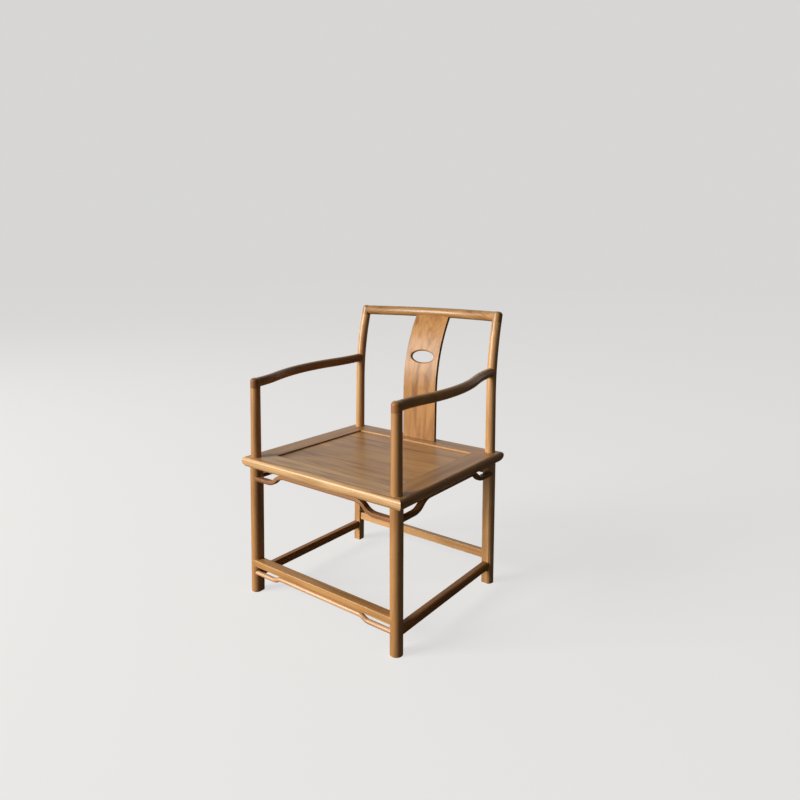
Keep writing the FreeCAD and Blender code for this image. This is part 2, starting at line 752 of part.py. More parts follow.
ARM_FRONT = front_axis("arm_front_height")
ARM_BACK = back_axis("arm_back_height")
ARM_DY = f"({ARM_BACK[1]} - {ARM_FRONT[1]})"
ARM_DZ = "(arm_back_height - arm_front_height)"
ARM_LENGTH = f"sqrt({ARM_DY}^2 + {ARM_DZ}^2)"
ARM_RISE = f"atan({ARM_DZ} / {ARM_DY})"
ARM_END_SHIFT = f"({ARM_BACK[0]} - {ARM_FRONT[0]})"
ARM_REST = f"({ARM_LENGTH} - arm_peak)"
FRONT_SWING = "(2 * atan(arm_bow / arm_peak))"
BACK_SWING = f"(2 * atan((arm_bow - {ARM_END_SHIFT}) / {ARM_REST}))"
FRONT_BOW_RADIUS = f"(arm_peak / sin({FRONT_SWING}) - arm_front_easing)"
BACK_BOW_RADIUS = f"({ARM_REST} / sin({BACK_SWING}) - arm_back_easing)"
ARM_ELBOW_HEIGHT = f"({ARM_DROP} * {FRONT_STRETCH} + arm_diameter / 2)"


def make_armrests():
    tube = "arm_diameter / 2"
    arcs = [
        ring("arm_front_ease", "arm_front_easing", tube, FRONT_SWING, ("arm_front_easing", "0", "0"),
             turned("z", f"180 deg - {FRONT_SWING}")),
        ring("arm_front_bow", FRONT_BOW_RADIUS, tube, FRONT_SWING,
             (f"arm_bow - {FRONT_BOW_RADIUS}", "arm_peak", "0"), turned("z", f"-{FRONT_SWING}")),
        ring("arm_back_bow", BACK_BOW_RADIUS, tube, BACK_SWING,
             (f"arm_bow - {BACK_BOW_RADIUS}", "arm_peak", "0")),
        ring("arm_back_ease", "arm_back_easing", tube, BACK_SWING,
             (f"{ARM_END_SHIFT} + arm_back_easing", ARM_LENGTH, "0"), turned("z", "180")),
    ]
    rod = place(fuse("arm_rod", arcs), ARM_FRONT, turned("x", ARM_RISE))
    coped = cut("arm_coped", rod, [post_envelope])
    elbow = domed_stub("arm_elbow", "front_post_top_diameter / 2", ARM_ELBOW_HEIGHT, "elbow_round",
                       front_axis(ARM_JOINT), FRONT_TURN)
    start = f"(back_post_top_diameter / 2 + {OVERRUN})"
    length = f"({OVERRUN} + tenon_length)"
    tenon_at = (ARM_BACK[0], f"{ARM_BACK[1]} - {start} * cos({ARM_RISE})",
                f"arm_back_height - {start} * sin({ARM_RISE})")
    tenon_turn = turned("x", f"{ARM_RISE} - 90 deg")
    tenon = cylinder("arm_tenon", "arm_tenon_diameter / 2", length, tenon_at, tenon_turn)
    mortise = cylinder("arm_mortise", f"arm_tenon_diameter / 2 + {CLEAR}", f"{length} + {CLEAR}", tenon_at,
                       tenon_turn)
    back_mortises.append(mortise)
    solid = fuse("arm_solid", [coped, elbow, tenon])
    bore = cylinder("arm_bore", f"post_tenon_diameter / 2 + {CLEAR}", f"post_tenon_length + {CLEAR}",
                    front_axis(ARM_JOINT), FRONT_TURN)
    keep_pair("armrest", cut("armrest_solid", solid, [bore]))


make_armrests()


def make_back_legs():
    stock = leg_stock("back_leg_stock", back_axis, BACK_CORNER_TURN, "leg_diameter / 2")
    lower = common("back_leg_lower", stock, below_seat)
    middle = neck("back_neck", back_axis, BACK_TURN, BACK_STRETCH)
    tenon_root = [f"{p} - {OVERRUN} * ({d})" for p, d in zip(POST_TOP, POST_TOP_DIRECTION)]
    tenon = cylinder("back_post_tenon", "post_tenon_diameter / 2", f"post_tenon_length + {OVERRUN}",
                     tenon_root, POST_TOP_TURN)
    solid = fuse("back_leg_solid", [lower, middle, *back_post("back_post", "0"), tenon])
    keep_pair("back_leg", cut("back_leg", solid, back_mortises))


def make_front_legs():
    stock = leg_stock("front_leg_stock", front_axis, FRONT_TURN, "leg_diameter / 2")
    lower = common("front_leg_lower", stock, below_seat)
    middle = neck("front_neck", front_axis, FRONT_TURN, FRONT_STRETCH)
    post = cone("front_post", "neck_diameter / 2", "front_post_top_diameter / 2",
                f"({ARM_JOINT} - seat_height) * {FRONT_STRETCH}", front_axis("seat_height"), FRONT_TURN)
    tenon = cylinder("front_post_tenon", "post_tenon_diameter / 2", f"post_tenon_length + {OVERRUN}",
                     front_axis(f"({ARM_JOINT} - {OVERRUN} / {FRONT_STRETCH})"), FRONT_TURN)
    solid = fuse("front_leg_solid", [lower, middle, post, tenon])
    keep_pair("front_leg", cut("front_leg", solid, front_mortises))


make_back_legs()
make_front_legs()


# Back splat: upright from the seat, then bent back to meet the crest rail's axis

SPLAT_Y = f"({BACK_EDGE} - splat_inset)"
SPLAT_RUN = f"({CREST_MID_Y} - {SPLAT_Y})"
SPLAT_RISE = f"({CREST_Z} - splat_bend_height)"
SPLAT_RADIUS = f"(({SPLAT_RUN}^2 + {SPLAT_RISE}^2) / (2 * {SPLAT_RUN}))"
SPLAT_TILT = f"asin({SPLAT_RISE} / {SPLAT_RADIUS})"


def splat_profile(drawing):
    """Side outline of the splat about its own upright line: Y to the right, Z up."""
    half = value("splat_thickness / 2")
    low, bend = value("seat_height - splat_seat_tongue"), value("splat_bend_height")
    radius, tilt = value(SPLAT_RADIUS), value(SPLAT_TILT)
    lean = math.radians(tilt)

    def on_arc(r):
        return radius - r * math.cos(lean), bend + r * math.sin(lean)

    bottom = line(drawing, (-half, low), (half, low))
    back = line(drawing, (half, low), (half, bend))
    back_bend = arc(drawing, (radius, bend), radius - half, 180 - tilt, 180)
    top = line(drawing, on_arc(radius - half), on_arc(radius + half))
    front_bend = arc(drawing, (radius, bend), radius + half, 180 - tilt, 180)
    front = line(drawing, (-half, bend), (-half, low))
    join(drawing, "Coincident", ((bottom, 2), (back, 1)), ((back_bend, 1), (top, 1)),
         ((top, 2), (front_bend, 1)), ((front, 2), (bottom, 1)), ((back_bend, 3), (front_bend, 3)))
    join(drawing, "Tangent", ((back, 2), (back_bend, 2)), ((front_bend, 2), (front, 1)))
    drawing.addConstraint(Sketcher.Constraint("Horizontal", bottom))
    drawing.addConstraint(Sketcher.Constraint("Vertical", back))
    drawing.addConstraint(Sketcher.Constraint("Vertical", front))
    drawing.addConstraint(Sketcher.Constraint("PointOnObject", back_bend, 3, top))
    measure(drawing, "thickness", "splat_thickness", "DistanceX", bottom, 1, bottom, 2)
    measure(drawing, "half_thickness", "splat_thickness / 2", "DistanceX", bottom, 1, -1, 1)
    measure(drawing, "low", "seat_height - splat_seat_tongue", "DistanceY", -1, 1, bottom, 1)
    measure(drawing, "bend", "splat_bend_height", "DistanceY", -1, 1, back, 2)
    back_radius = f"({SPLAT_RADIUS} - splat_thickness / 2)"
    measure(drawing, "bend_radius", back_radius, "Radius", back_bend)
    top_height = f"splat_bend_height + {back_radius} * sin({SPLAT_TILT})"
    measure(drawing, "top_height", top_height, "DistanceY", -1, 1, top, 1)


# The hand hole is square to the splat's bend at its own height.
HOLE_TILT = f"asin(max(0; hole_centre_height - splat_bend_height) / {SPLAT_RADIUS})"
HOLE_BACK = f"({SPLAT_RADIUS} * (1 - cos({HOLE_TILT})))"


def splat_hole(drawing):
    """The oval hand hole about the sketch's origin, which lies in the middle of the splat."""
    offset = f"placement(vector(0; hole_centre_height; -{HOLE_BACK}); {turned('x', f'-{HOLE_TILT}')})"
    drawing.setExpression("AttachmentOffset", formula(offset))
    wide, tall = value("hole_width / 2"), value("hole_height / 2")
    oval = drawing.addGeometry(Part.Ellipse(Vector(wide, 0, 0), Vector(0, tall, 0), Vector()))
    drawing.exposeInternalGeometry(oval)
    major, minor = oval + 1, oval + 2
    join(drawing, "Coincident", ((oval, 3), (-1, 1)))
    drawing.addConstraint(Sketcher.Constraint("Horizontal", major))
    measure(drawing, "width", "hole_width", "Distance", major)
    measure(drawing, "height", "hole_height", "Distance", minor)


def edges_named(shape, wanted):
    return [f"Edge{number}" for number, edge in enumerate(shape.Edges, 1) if wanted(edge)]


def make_splat():
    owner = body("splat", ("0", SPLAT_Y, "0"))
    profile = sketch(owner, "splat_profile", "YZ_Plane")
    splat_profile(profile)
    pad(owner, profile, "splat_width").Midplane = True
    oval = sketch(owner, "splat_oval", "XZ_Plane")
    splat_hole(oval)
    hole = owner.newObject("PartDesign::Pocket", "splat_hole")
    hole.Profile = oval
    hole.Type = "ThroughAll"
    hole.Midplane = True
    doc.recompute()

    def on_rim(edge):
        return edge.isClosed()

    def on_side(edge):
        """An upright edge along a long side of the splat."""
        box_of = edge.BoundBox
        return abs(box_of.XLength) < 0.01 and box_of.ZLength > value("2 * splat_thickness")

    rim = owner.newObject("PartDesign::Fillet", "splat_rim")
    rim.Base = (hole, edges_named(hole.Shape, on_rim))
    bind(rim, Radius="hole_rim_round")
    doc.recompute()
    sides = owner.newObject("PartDesign::Fillet", "splat_sides")
    sides.Base = (rim, edges_named(rim.Shape, on_side))
    bind(sides, Radius="splat_edge_round")
    crest_space = crest_bow("crest_space", f"crest_diameter / 2 + {CLEAR}")
    tongue = crest_tongue("splat_tongue", "0")
    keep("back_splat", fuse("back_splat_solid", [cut("splat_coped", owner, [crest_space]), tongue]))


def crest_bow(name, tube):
    """A rod of the given radius along the crest rail's bow."""
    return ring(name, CREST_RING, tube, f"2 * {CREST_HALF_ANGLE}",
                ("0", f"{CREST_MID_Y} - {CREST_RING}", CREST_Z), turned("z", f"90 deg - {CREST_HALF_ANGLE}"))


def crest_tongue(name, clearance):
    """The splat's top tongue, or with clearance its mortise in the crest rail."""
    width = f"(splat_crest_tongue_width + 2 * {clearance})"
    thickness = f"(splat_crest_tongue_thickness + 2 * {clearance})"
    back = f"(crest_diameter / 2 + {OVERRUN} / 2)"
    length = f"({back} + splat_crest_tongue_past_axis + {clearance})"
    at = (f"-{width} / 2",
          f"{CREST_MID_Y} - {back} * sin({SPLAT_TILT}) - {thickness} / 2 * cos({SPLAT_TILT})",
          f"{CREST_Z} - {back} * cos({SPLAT_TILT}) + {thickness} / 2 * sin({SPLAT_TILT})")
    return box(name, (width, thickness, length), at, turned("x", f"-{SPLAT_TILT}"))


# Crest rail: one bowed rod with an elbow over each back post

def make_crest_rail():
    rod = crest_bow("crest_rod", "crest_diameter / 2")
    elbow = domed_stub("crest_elbow", "back_post_top_diameter / 2", f"({CREST_DROP} + crest_diameter / 2)",
                       "elbow_round", POST_TOP, POST_TOP_TURN)
    bore = cylinder("crest_bore", f"post_tenon_diameter / 2 + {CLEAR}", f"post_tenon_length + {CLEAR}",
                    POST_TOP, POST_TOP_TURN)
    solid = fuse("crest_solid", [rod, *both(elbow)])
    keep("crest_rail", cut("crest_rail", solid, [*both(bore), crest_tongue("crest_mortise", CLEAR)]))


make_splat()
make_crest_rail()


# Seat frame: four mitred rails with a rounded outer edge, grooved for the panel

PANEL_TOP = "(seat_height - panel_recess)"
PANEL_BOTTOM = f"({PANEL_TOP} - panel_thickness)"
TONGUE_LOW = f"({PANEL_BOTTOM} + panel_tongue_rise)"
TONGUE_HIGH = f"({TONGUE_LOW} + panel_tongue_thickness)"
FRAME_MIDDLE = "(seat_height - frame_thickness / 2)"
HALF_WIDTH = "(seat_width / 2)"
MITRE_REACH = "(1.5 * rail_width)"
MITRE_SIZE = ("4 * rail_width", "2 * rail_width", f"frame_thickness + 2 * {OVERRUN}")
MITRE_FLOOR = f"({UNDERSIDE} - {OVERRUN})"


def mitre(name, edge, x_step, y_step, angle):
    """A box whose face lies on the mitre plane of a left corner of the frame."""
    at = (f"{HALF_WIDTH} + {x_step} * {MITRE_REACH}", f"{edge} + {y_step} * {MITRE_REACH}", MITRE_FLOOR)
    return box(name, MITRE_SIZE, at, turned("z", angle))


def corner_tenon(name, inner, outward):
    """The tenon of a front or back rail into the left side rail; outward is -1 in front, +1 at the back."""
    y_ends = sorted([f"{inner} + {outward} * corner_tenon_inset",
                     f"{inner} + {outward} * (corner_tenon_inset + corner_tenon_width)"], key=value)
    z_low, z_high = centred(FRAME_MIDDLE, "corner_tenon_thickness")
    low = (f"{SIDE_INNER} - {OVERRUN}", y_ends[0], z_low)
    high = (f"{HALF_WIDTH} - corner_tenon_stop", y_ends[1], z_high)
    return tenon_and_mortise(name, low, high)


GROOVE_DEPTH = f"(panel_tongue_length + {CLEAR})"
GROOVE_LOW = f"({TONGUE_LOW} - {CLEAR})"
GROOVE_HIGH = f"({TONGUE_HIGH} + {CLEAR})"
panel_space = block("panel_groove",
                    (f"-{SIDE_INNER} - {GROOVE_DEPTH}", f"{FRONT_INNER} - {GROOVE_DEPTH}", GROOVE_LOW),
                    (f"{SIDE_INNER} + {GROOVE_DEPTH}", f"{BACK_INNER} + {GROOVE_DEPTH}", GROOVE_HIGH))
front_hole = neck_hole("front_neck_hole", front_axis, FRONT_TURN, FRONT_STRETCH)
back_hole = neck_hole("back_neck_hole", back_axis, BACK_TURN, BACK_STRETCH)
front_tenon, front_corner_mortise = corner_tenon("front_corner", FRONT_INNER, -1)
back_tenon, back_corner_mortise = corner_tenon("back_corner", BACK_INNER, 1)


# Battens: two bars under the panel, dovetailed into the boards and tenoned into the front and back rails

BATTEN_TENON_LOW = f"({PANEL_BOTTOM} - (batten_depth + batten_tenon_thickness) / 2)"
BATTEN_TENON_HIGH = f"({BATTEN_TENON_LOW} + batten_tenon_thickness)"
BATTEN_X = "(batten_spread / 2)"


def dovetail(name, clearance):
    """The batten's upper part, wider at the top, or with clearance the housing in the boards."""
    obj = doc.addObject("Part::Wedge", name)
    foot = f"(batten_width / 2 - batten_dovetail_flare + {clearance})"
    head = f"(batten_width / 2 + {clearance})"
    bind(obj, Xmin=f"-{foot}", Xmax=foot, X2min=f"-{head}", X2max=head, Ymin="0",
         Ymax=f"batten_dovetail + {clearance}", Zmin=f"-{BACK_INNER}", Zmax=f"-{FRONT_INNER}",
         Z2min=f"-{BACK_INNER}", Z2max=f"-{FRONT_INNER}")
    return place(obj, (BATTEN_X, "0", PANEL_BOTTOM), turned("x", "90"))


def make_battens():
    low, high = centred(BATTEN_X, "batten_width")
    lower = block("batten_lower", (low, f"{FRONT_INNER} + {CLEAR}", f"{PANEL_BOTTOM} - batten_depth"),
                  (high, f"{BACK_INNER} - {CLEAR}", PANEL_BOTTOM))
    foot_low, foot_high = centred(BATTEN_X, "batten_width - 2 * batten_dovetail_flare")
    tenon_low = (foot_low, f"{FRONT_INNER} - tenon_length", BATTEN_TENON_LOW)
    tenon_high = (foot_high, f"{BACK_INNER} + tenon_length", BATTEN_TENON_HIGH)
    tenon, mortise = tenon_and_mortise("batten", tenon_low, tenon_high)
    between = block("between_rails", ("0", f"{FRONT_INNER} + {CLEAR}", UNDERSIDE),
                    (SIDE_INNER, f"{BACK_INNER} - {CLEAR}", "seat_height"))
    tail = common("batten_tail", dovetail("batten_dovetail_solid", "0"), between)
    keep_pair("seat_batten", fuse("seat_batten", [lower, tail, tenon]))
    return both(mortise)


batten_mortises = make_battens()


def make_cross_rail(name, edge, angle, mitres, tenon, hole, slots):
    """The front or back rail, turned so that its round edge faces outwards."""
    stock = bar(f"{name}_stock", "seat_width", rail_section, ("0", edge, FRAME_MIDDLE), turned("z", angle))
    solid = fuse(f"{name}_tenoned", [cut(f"{name}_mitred", stock, both(mitres)), *both(tenon)])
    keep(name, cut(f"{name}_solid", solid, [panel_space, *both(hole), *slots]))


SPLAT_SLOT_LOW = (f"-(splat_width / 2 + {CLEAR})", f"{SPLAT_Y} - splat_thickness / 2 - {CLEAR}",
                  f"seat_height - splat_seat_tongue - {CLEAR}")
SPLAT_SLOT_HIGH = (f"splat_width / 2 + {CLEAR}", f"{SPLAT_Y} + splat_thickness / 2 + {CLEAR}",
                   f"seat_height + {OVERRUN}")
splat_slot = block("splat_slot", SPLAT_SLOT_LOW, SPLAT_SLOT_HIGH)
make_cross_rail("seat_front_rail", FRONT_EDGE, "0", mitre("front_rail_mitre", FRONT_EDGE, -1, 1, "-45"),
                front_tenon, front_hole, batten_mortises)
make_cross_rail("seat_back_rail", BACK_EDGE, "180", mitre("back_rail_mitre", BACK_EDGE, 1, 1, "-135"),
                back_tenon, back_hole, [*batten_mortises, splat_slot])


def make_side_rails():
    stock = bar("seat_side_rail_stock", "seat_depth", rail_section, (HALF_WIDTH, SEAT_Y, FRAME_MIDDLE),
                turned("z", "90"))
    mitres = [mitre("side_rail_front_mitre", FRONT_EDGE, 1, -1, "135"),
              mitre("side_rail_back_mitre", BACK_EDGE, -1, -1, "45")]
    tools = [*mitres, panel_space, front_hole, back_hole, front_corner_mortise, back_corner_mortise]
    keep_pair("seat_side_rail", cut("seat_side_rail_solid", stock, tools))


make_side_rails()


# Seat panel: boards that run from side to side, tongued together and into the frame's groove

BOARDS = ["seat_board_front", "seat_board_middle", "seat_board_back"]


def make_seat_boards():
    pitch = f"(({BACK_INNER} - {FRONT_INNER}) / {len(BOARDS)})"
    housings = both(dovetail("batten_housing", CLEAR))
    for number, name in enumerate(BOARDS):
        first, last = name == BOARDS[0], name == BOARDS[-1]
        front = f"{FRONT_INNER} + {number} * {pitch}"
        back = f"{FRONT_INNER} + {number + 1} * {pitch}"
        field_front = f"{front} + {CLEAR}" if first else front
        field_back = f"{back} - {CLEAR}" if last else back
        tongue_front = f"{front} - panel_tongue_length" if first else front
        tongue_back = f"{back} + panel_tongue_length" if last else f"{back} + board_tongue_length"
        half_field = f"({SIDE_INNER} - {CLEAR})"
        half_tongue = f"({SIDE_INNER} + panel_tongue_length)"
        field = block(f"{name}_field", (f"-{half_field}", field_front, PANEL_BOTTOM),
                      (half_field, field_back, PANEL_TOP))
        side_tongues = block(f"{name}_tongues", (f"-{half_tongue}", tongue_front, TONGUE_LOW),
                             (half_tongue, tongue_back if last else back, TONGUE_HIGH))
        pieces = [field, side_tongues]
        tools = list(housings)
        if not last:
            edge = block(f"{name}_edge", (f"-{half_field}", back, TONGUE_LOW),
                         (half_field, tongue_back, TONGUE_HIGH))
            pieces.append(edge)
        if not first:
            groove = block(f"{name}_edge_groove", (f"-{half_tongue} - {CLEAR}", front, GROOVE_LOW),
                           (f"{half_tongue} + {CLEAR}", f"{front} + board_tongue_length + {CLEAR}",
                            GROOVE_HIGH))
            tools.append(groove)
        keep(name, cut(f"{name}_solid", fuse(f"{name}_stock", pieces), tools))


make_seat_boards()
doc.recompute()

# Every object and every solid is checked before anything is written
for obj in doc.Objects:
    if "Invalid" in obj.State or "Error" in obj.State:
        raise RuntimeError(f"{obj.Name} failed: {obj.State}")
for name, obj in parts.items():
    if obj.Shape.isNull() or not obj.Shape.isValid() or len(obj.Shape.Solids) != 1:
        raise RuntimeError(f"{name} is not one valid solid: {len(obj.Shape.Solids)} solids")

os.makedirs("parts", exist_ok=True)
for name, obj in parts.items():
    obj.Shape.exportStep(f"parts/{name}.step")
    print(f"{name}: {obj.Shape.Volume / 1000:.1f} cm3")
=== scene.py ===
import math

import bpy
from mathutils import Matrix, Vector

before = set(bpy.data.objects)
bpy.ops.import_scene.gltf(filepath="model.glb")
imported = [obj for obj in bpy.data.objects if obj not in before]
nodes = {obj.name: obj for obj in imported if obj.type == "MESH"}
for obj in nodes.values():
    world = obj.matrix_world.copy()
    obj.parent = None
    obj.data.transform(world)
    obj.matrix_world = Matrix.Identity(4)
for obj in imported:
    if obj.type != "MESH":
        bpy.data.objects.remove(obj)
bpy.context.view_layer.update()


# Shader expressions

class Signal:
    """An output of a shader node that takes part in Python arithmetic."""

    def __init__(self, shader, socket):
        self.shader = shader
        self.socket = socket

    def is_vector(self):
        return self.socket.type in ("VECTOR", "RGBA")

    def combine(self, operation, first, second):
        operands = (first, second)
        vector = any(isinstance(item, Signal) and item.is_vector() for item in operands)
        kind = "VectorMath" if vector else "Math"
        return self.shader.add(kind, {"operation": operation}, {0: first, 1: second})

    def __add__(self, other):
        return self.combine("ADD", self, other)

    def __radd__(self, other):
        return self.combine("ADD", other, self)

    def __sub__(self, other):
        return self.combine("SUBTRACT", self, other)

    def __rsub__(self, other):
        return self.combine("SUBTRACT", other, self)

    def __mul__(self, other):
        return self.combine("MULTIPLY", self, other)

    def __rmul__(self, other):
        return self.combine("MULTIPLY", other, self)

    def __truediv__(self, other):
        return self.combine("DIVIDE", self, other)


class Shader:
    """The nodes of one material or world."""

    def __init__(self, name, library):
        self.data = library.new(name)
        self.data.use_nodes = True
        self.tree = self.data.node_tree
        output = next(node for node in self.tree.nodes if "Surface" in node.inputs)
        self.surface = output.inputs["Surface"].links[0].from_node

    def add(self, kind, settings, sockets, output=0):
        """Adds any node: its settings first, then its sockets."""
        node = self.tree.nodes.new(f"ShaderNode{kind}")
        for name, setting in settings.items():
            setattr(node, name, setting)
        for name, value in sockets.items():
            self.plug(node.inputs[name], value)
        return Signal(self, node.outputs[output])

    def plug(self, socket, value):
        if isinstance(value, Signal):
            self.tree.links.new(value.socket, socket)
        elif socket.type in ("VECTOR", "RGBA") and isinstance(value, (int, float)):
            socket.default_value = [value] * len(socket.default_value)
        else:
            socket.default_value = value

    def set(self, **inputs):
        """Sets or links inputs of the surface; underscores stand for spaces."""
        for name, value in inputs.items():
            self.plug(self.surface.inputs[name.replace("_", " ")], value)

    def noise(self, vector, detail=2.0, roughness=0.5):
        """Smooth noise between 0 and 1 with features about one unit wide."""
        return self.add("TexNoise", {"normalize": True},
                        {"Vector": vector, "Scale": 1.0, "Detail": detail, "Roughness": roughness})

    def ramp(self, value, low, high):
        """0 below low, 1 above high, smooth between them."""
        return self.add("MapRange", {"interpolation_type": "SMOOTHSTEP"},
                        {"Value": value, "From Min": low, "From Max": high})

    def mix(self, first, second, share):
        """A colour between two colours."""
        return self.add("Mix", {"data_type": "RGBA", "clamp_factor": True},
                        {"Factor": share, 6: first, 7: second}, output=2)

    def vector(self, x, y, z):
        return self.add("CombineXYZ", {}, {0: x, 1: y, 2: z})

    def parts(self, vector):
        return [self.add("SeparateXYZ", {}, {0: vector}, output=index) for index in range(3)]

    def unary(self, operation, value):
        return self.add("Math", {"operation": operation}, {0: value})


def linear(red, green, blue):
    """A colour given as it looks on screen, from 0 to 255."""
    return tuple(((c / 255 + 0.055) / 1.055) ** 2.4 for c in (red, green, blue))


def tinted(colour, factors):
    """A colour times a factor for each channel, with full opacity."""
    return (*(part * factor for part, factor in zip(colour, factors)), 1.0)


BLACK = (0.0, 0.0, 0.0, 1.0)


# Elm under satin lacquer, in metres: year rings, flames, streaks, fibres and pores

RING_SPACING = 0.006
RING_WANDER = 0.014
RING_WOBBLE = 0.7
LATE_BANDS = 5
BAND_WOBBLE = 0.4
# Steps through the noise from piece to piece and from year to year
PIECE_STEP = 7.3
YEAR_STEP = 0.73
# The fibre's axis first, then the two across it
AXES = {"x": (0, 1, 2), "y": (1, 0, 2), "z": (2, 0, 1)}

# Factors on a piece's tone
PALE_WOOD = (1.16, 1.18, 1.22)
DARK_WOOD = (0.54, 0.44, 0.34)
PORE = (0.36, 0.27, 0.2)
END_GRAIN = (0.7, 0.54, 0.48)
# Painted highlight paled onto rounded edges
PAINTED_EDGE_HIGHLIGHT = (1.25, 1.3, 1.4)
# Painted shade on rims turned away from the front and the back
PAINTED_RIM_SHADE = (0.5, 0.38, 0.32)

# How much each part of the figure darkens the wood
GROUND_DEPTH = 0.05
RING_DEPTH = 0.06
YEAR_DEPTH = 0.3
BAND_DEPTH = 0.05
FIBRE_DEPTH = 0.35
STREAK_DEPTH = 0.9
PORE_SHARE = 0.3
END_SHARE = 0.8

# Lacquer
ROUGHNESS = 0.28
GRAIN_BUMP = 0.12
GRAIN_HEIGHT = 0.0006
COAT = 0.12
COAT_ROUGHNESS = 0.22


class Wood:
    """How one kind of piece is cut from the tree and finished.

    Grain is the axis of the fibres and tone the colour on screen. Pith is the place of the tree's
    heart across the piece and deep in it, from the piece's middle, and lean its drift along the grain.
    Rings and flame say how dark the figure is, and gloss how bright the lacquer. The edge number paints a
    highlight that pales the rounded edges;
    the rim number paints shade on the surfaces that turn away from the front and the back, mostly shade
    with some of the end grain's own darkness.
    """

    def __init__(self, grain, tone, pith=(0.05, 0.06), lean=(0.012, 0.008), rings=1.0, flame=0.35,
                 edge_highlight=0.0, gloss=0.5, rim_shade=0.0):
        self.grain = grain
        self.tone = linear(*tone)
        self.pith = pith
        self.lean = lean
        self.rings = rings
        self.flame = flame
        self.edge_highlight = edge_highlight
        self.gloss = gloss
        self.rim_shade = rim_shade


def elm(node, wood, seed):
    """The material of one piece; its seed sets it apart from the others."""
    shader = Shader(f"elm_{node.name}", bpy.data.materials)
    middle = sum((Vector(corner) for corner in node.bound_box), Vector()) / len(node.bound_box)
    position = shader.parts(shader.add("TexCoord", {}, {}, output="Object") - middle)
    normal = shader.parts(shader.add("TexCoord", {}, {}, output="Normal"))
    along, across, deep = [position[index] for index in AXES[wood.grain]]
    facing = [shader.unary("ABSOLUTE", part) for part in normal]
    tone = wood.tone
    shift = PIECE_STEP * seed

    def noise(long, wide, detail=2.0, roughness=0.5):
        """Noise with so many features per metre along the grain and across it."""
        place = shader.vector(along * long + shift, across * wide, deep * wide - shift)
        return shader.noise(place, detail, roughness)

    # Distance from the heart, counted in years
    u = across - wood.pith[0] - along * wood.lean[0] + (noise(3.0, 12.0) - 0.5) * RING_WANDER
    v = deep - wood.pith[1] - along * wood.lean[1] + (noise(2.5, 10.0) - 0.5) * RING_WANDER
    radius = shader.unary("SQRT", u * u + v * v)
    rings = radius / RING_SPACING + noise(9.0, 70.0, detail=3.0) * RING_WOBBLE
    phase = shader.unary("FRACT", rings)
    late = shader.ramp(phase, 0.15, 0.8) * (1.0 - shader.ramp(phase, 0.84, 1.0))
    year_place = shader.vector(shader.unary("FLOOR", rings) * YEAR_STEP + shift, 0.5, 0.5)
    year = shader.ramp(shader.noise(year_place, detail=0.0), 0.3, 0.7)
    bands = shader.unary("SINE", (rings + noise(20.0, 160.0) * BAND_WOBBLE) * (math.tau * LATE_BANDS))

    # Figure along the fibres
    fibre = noise(14.0, 420.0, detail=3.0, roughness=0.6)
    streak = noise(2.2, 60.0, detail=3.0)
    flame = shader.ramp(noise(6.0, 48.0), 0.42, 0.68)
    pores = shader.ramp(noise(70.0, 1500.0, detail=1.0), 0.6, 0.74) * (1.0 - late * 0.8)
    year_rings = late * (RING_DEPTH + year * YEAR_DEPTH) * wood.rings + bands * late * BAND_DEPTH
    figure = year_rings + (fibre - 0.5) * FIBRE_DEPTH
    depth = GROUND_DEPTH + figure + (streak - 0.5) * STREAK_DEPTH + flame * wood.flame

    # Colour, then what the surface's direction adds: end grain, a painted highlight on rounded edges and
    # painted shade on rims
    end = shader.ramp(facing[AXES[wood.grain][0]], 0.45, 0.85)
    # Painted highlight: rounded edges tilted between level and upright are paled in patches
    edge_highlight_mask = shader.ramp(facing[2] * (1.0 - facing[2]), 0.14, 0.25) * noise(30.0, 60.0)
    # Painted shade: surfaces turned away from the front and the back are darkened, with some of the end
    # grain's own darkness
    rim_shade_mask = 1.0 - shader.ramp(facing[1], 0.6, 0.9)
    base = shader.mix(tinted(tone, PALE_WOOD), tinted(tone, DARK_WOOD), depth)
    base = shader.mix(base, tinted(tone, PORE), pores * PORE_SHARE)
    base = shader.mix(base, tinted(tone, END_GRAIN), end * END_SHARE)
    base = shader.mix(base, tinted(tone, PAINTED_EDGE_HIGHLIGHT), edge_highlight_mask * wood.edge_highlight)
    base = shader.mix(base, tinted(tone, PAINTED_RIM_SHADE), rim_shade_mask * wood.rim_shade)

    smudge = noise(14.0, 22.0, detail=3.0)
    height = fibre * 0.3 - pores * 0.5 + smudge * 0.8
    bump = shader.add("Bump", {}, {"Strength": GRAIN_BUMP, "Distance": GRAIN_HEIGHT, "Height": height})
    roughness = ROUGHNESS + smudge * 0.1 + fibre * 0.08 + pores * 0.1 + end * 0.1
    shader.set(Base_Color=base, Roughness=roughness, Normal=bump, Specular_IOR_Level=wood.gloss,
               Coat_Weight=COAT, Coat_Roughness=COAT_ROUGHNESS)
    return shader.data


